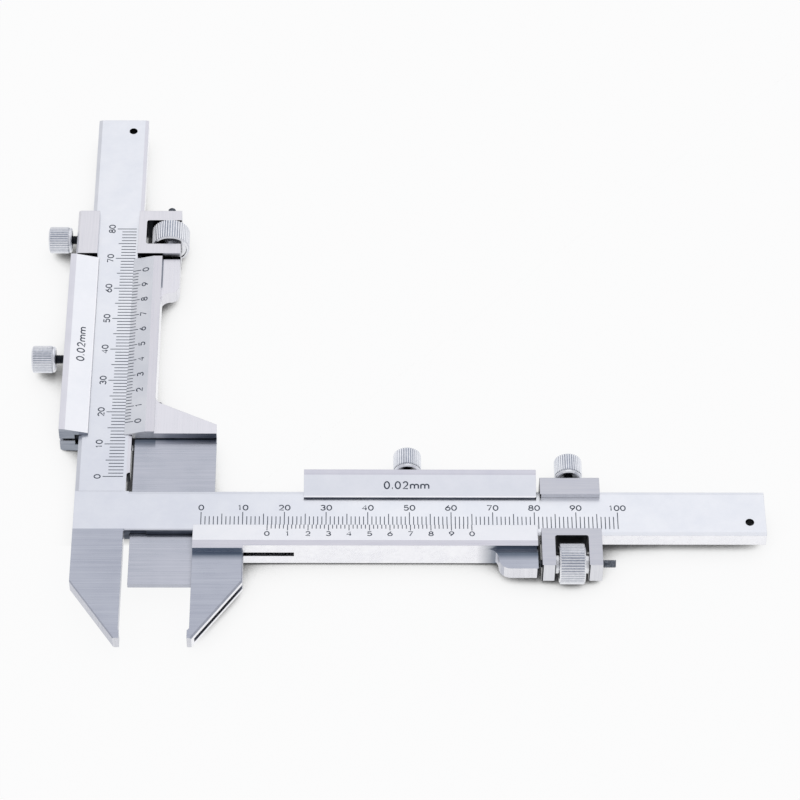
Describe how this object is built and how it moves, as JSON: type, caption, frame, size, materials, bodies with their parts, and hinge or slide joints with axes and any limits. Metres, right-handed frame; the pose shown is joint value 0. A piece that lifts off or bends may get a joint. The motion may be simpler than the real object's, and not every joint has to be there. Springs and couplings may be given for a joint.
{
  "type": "gear tooth caliper",
  "caption": "Gear tooth vernier caliper: two beams at a right angle, a sliding jaw beside a fixed one, a height tongue between them, thumb screws and knurled fine-adjustment nuts.",
  "frame": {"origin": "middle of the part's footprint, on the surface that it lies on", "axes": "+X along the horizontal beam away from the jaws, +Y along the vertical beam away from the jaws, +Z out of the scale faces"},
  "size_m": [0.1792, 0.1658, 0.0098],
  "materials": {
    "satin_steel": "satin chrome on stainless steel, pale and even",
    "ground_steel": "surface-ground stainless steel, fine straight grain",
    "knurled_steel": "bright turned steel with a straight knurl",
    "black_steel": "black-oxide steel: threaded rods and stems, gib strips"
  },
  "bodies": {
    "frame": {"horizontal_beam": "satin_steel", "vertical_beam": "satin_steel", "corner_screws": "black_steel"},
    "jaw_carriage": {"jaw_slide": "satin_steel", "jaw_gib": "black_steel", "jaw_fine_rod": "black_steel", "jaw_rod_pin": "knurled_steel"},
    "jaw_lock": {"jaw_lock_screw": "knurled_steel"},
    "jaw_clamp_unit": {"jaw_clamp": "satin_steel", "jaw_clamp_gib": "black_steel"},
    "jaw_clamp_knob": {"jaw_clamp_screw": "knurled_steel"},
    "jaw_nut": {"jaw_fine_nut": "knurled_steel"},
    "height_carriage": {"height_slide": "satin_steel", "height_tongue": "ground_steel", "tongue_screws": "black_steel", "height_gib": "black_steel", "height_fine_rod": "black_steel", "height_rod_pin": "knurled_steel"},
    "height_lock": {"height_lock_screw": "knurled_steel"},
    "height_clamp_unit": {"height_clamp": "satin_steel", "height_clamp_gib": "black_steel"},
    "height_clamp_knob": {"height_clamp_screw": "knurled_steel"},
    "height_nut": {"height_fine_nut": "knurled_steel"}
  },
  "joints": [
    {"name": "jaw_travel", "type": "slide", "parent": "frame", "child": "jaw_carriage", "axis": [1, 0, 0], "range_m": [-0.0159, 0.0341]},
    {"name": "jaw_lock_turn", "type": "hinge", "parent": "jaw_carriage", "child": "jaw_lock", "pos_m": [0.0036, -0.0343, 0.0049], "axis": [0, 1, 0], "range_deg": [0, 360]},
    {"name": "jaw_clamp_travel", "type": "slide", "parent": "jaw_carriage", "child": "jaw_clamp_unit", "axis": [1, 0, 0], "range_m": [-0.0006, 0.0024]},
    {"name": "jaw_clamp_turn", "type": "hinge", "parent": "jaw_clamp_unit", "child": "jaw_clamp_knob", "pos_m": [0.0427, -0.0362, 0.0049], "axis": [0, 1, 0], "range_deg": [0, 360]},
    {"name": "jaw_nut_turn", "type": "hinge", "parent": "jaw_clamp_unit", "child": "jaw_nut", "pos_m": [0.0427, -0.0599, 0.0049], "axis": [1, 0, 0], "range_deg": [-541, 2161]},
    {"name": "height_travel", "type": "slide", "parent": "frame", "child": "height_carriage", "axis": [0, 1, 0], "range_m": [-0.0155, 0.0145]},
    {"name": "height_lock_turn", "type": "hinge", "parent": "height_carriage", "child": "height_lock", "pos_m": [-0.0814, 0.00285, 0.0049], "axis": [-1, 0, 0], "range_deg": [0, 360]},
    {"name": "height_clamp_travel", "type": "slide", "parent": "height_carriage", "child": "height_clamp_unit", "axis": [0, 1, 0], "range_m": [-0.0006, 0.0024]},
    {"name": "height_clamp_turn", "type": "hinge", "parent": "height_clamp_unit", "child": "height_clamp_knob", "pos_m": [-0.0802, 0.04245, 0.0049], "axis": [-1, 0, 0], "range_deg": [0, 360]},
    {"name": "height_nut_turn", "type": "hinge", "parent": "height_clamp_unit", "child": "height_nut", "pos_m": [-0.0565, 0.04245, 0.0049], "axis": [0, 1, 0], "range_deg": [-541, 2161]}
  ],
  "couplings": [
    {"joint": "jaw_nut_turn", "follows": "jaw_clamp_travel", "rad_per_m": 15708},
    {"joint": "height_nut_turn", "follows": "height_clamp_travel", "rad_per_m": 15708}
  ]
}
